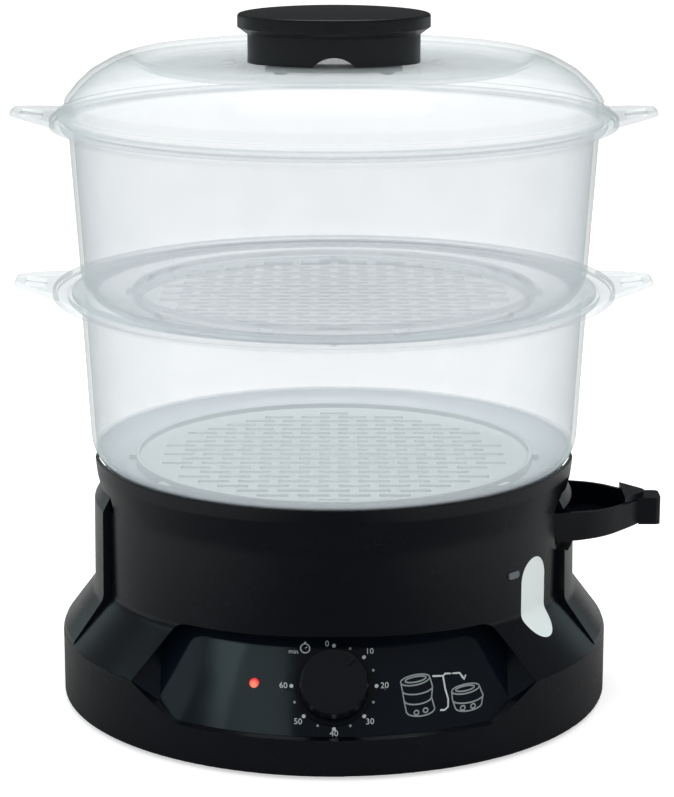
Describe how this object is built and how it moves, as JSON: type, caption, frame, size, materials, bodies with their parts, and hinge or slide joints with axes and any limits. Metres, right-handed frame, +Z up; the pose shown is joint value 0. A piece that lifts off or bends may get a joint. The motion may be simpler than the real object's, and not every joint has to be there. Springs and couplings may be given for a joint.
{
  "type": "electric food steamer",
  "caption": "Round electric steamer: black base with water tank, timer dial and pull-out filler spout, clear stacked bowls with slotted grids and a domed lid with a black handle.",
  "frame": {"origin": "centre of the base, on the surface that the feet stand on", "axes": "+Z up along the stack, +X towards the filler spout, -Y towards the control panel"},
  "size_m": [0.2978, 0.2573, 0.3176],
  "materials": {
    "black_plastic": "satin gloss",
    "matte_black_plastic": "fine satin",
    "panel_plastic": "polished",
    "knob_plastic": "satin",
    "black_rubber": "matte",
    "zinc_steel": "zinc plated",
    "element_steel": "plain",
    "cast_aluminium": "cast",
    "natural_nylon": "plain",
    "grey_silicone": "matte",
    "grey_plastic": "plain",
    "lead_insulation": "matte",
    "red_lens": "polished",
    "lamp_glass": "clear",
    "white_plastic": "satin",
    "clear_plastic": "polished, clear"
  },
  "bodies": {
    "base": {"base_skirt": "black_plastic", "base_housing": "black_plastic", "bottom_cover": "matte_black_plastic", "feet": "black_rubber", "cover_screws": "zinc_steel", "control_fascia": "panel_plastic", "dial_ring": "black_plastic", "timer_case": "zinc_steel", "timer_cover": "zinc_steel", "timer_screws": "zinc_steel", "timer_contacts": "natural_nylon", "timer_spring": "zinc_steel", "timer_bell": "zinc_steel", "pilot_lens": "red_lens", "pilot_lamp": "lamp_glass", "pilot_holder": "natural_nylon", "water_window": "clear_plastic", "window_seal": "grey_silicone", "level_mark": "grey_plastic", "heater_plate": "cast_aluminium", "heater_seal": "grey_silicone", "heater_nuts": "zinc_steel", "heater_element": "element_steel", "thermostat": "element_steel", "thermal_fuse": "natural_nylon", "terminal_block": "natural_nylon", "cord_inlet": "black_rubber", "lead_wires": "lead_insulation", "base_lip": "black_plastic"},
    "timer_knob": {"timer_knob": "knob_plastic", "timer_shaft": "zinc_steel", "timer_cam": "natural_nylon"},
    "filler_spout": {"filler_spout": "black_plastic", "spout_tip": "black_plastic"},
    "steam_ring": {"steam_ring": "matte_black_plastic"},
    "drip_tray": {"drip_tray": "white_plastic"},
    "lower_bowl": {"lower_bowl": "clear_plastic", "lower_bowl_floor": "clear_plastic", "lower_bowl_rim": "clear_plastic", "lower_bowl_ears": "clear_plastic"},
    "lower_grid": {"lower_grid": "clear_plastic"},
    "upper_bowl": {"upper_bowl": "clear_plastic", "upper_bowl_floor": "clear_plastic", "upper_bowl_rim": "clear_plastic", "upper_bowl_ears": "clear_plastic"},
    "upper_grid": {"upper_grid": "clear_plastic"},
    "lid": {"lid": "clear_plastic", "lid_handle": "matte_black_plastic", "handle_retainer": "white_plastic", "handle_screws": "zinc_steel"}
  },
  "joints": [
    {"name": "timer_turn", "type": "hinge", "parent": "base", "child": "timer_knob", "pos_m": [0, -0.11047, 0.0364], "axis": [0, -0.8369, 0.5473], "range_deg": [-225, 45]},
    {"name": "spout_slide", "type": "slide", "parent": "base", "child": "filler_spout", "axis": [1, 0, 0], "range_m": [-0.038, 0]},
    {"name": "steam_ring_lift", "type": "slide", "parent": "base", "child": "steam_ring", "axis": [0, 0, 1], "range_m": [0, 0.018]},
    {"name": "drip_tray_lift", "type": "slide", "parent": "base", "child": "drip_tray", "axis": [0, 0, 1], "range_m": [0, 0.04]},
    {"name": "lower_bowl_lift", "type": "slide", "parent": "drip_tray", "child": "lower_bowl", "axis": [0, 0, 1], "range_m": [0, 0.06]},
    {"name": "lower_grid_lift", "type": "slide", "parent": "lower_bowl", "child": "lower_grid", "axis": [0, 0, 1], "range_m": [0, 0.06]},
    {"name": "upper_bowl_lift", "type": "slide", "parent": "lower_bowl", "child": "upper_bowl", "axis": [0, 0, 1], "range_m": [0, 0.06]},
    {"name": "upper_grid_lift", "type": "slide", "parent": "upper_bowl", "child": "upper_grid", "axis": [0, 0, 1], "range_m": [0, 0.06]},
    {"name": "lid_lift", "type": "slide", "parent": "upper_bowl", "child": "lid", "axis": [0, 0, 1], "range_m": [0, 0.06]}
  ]
}
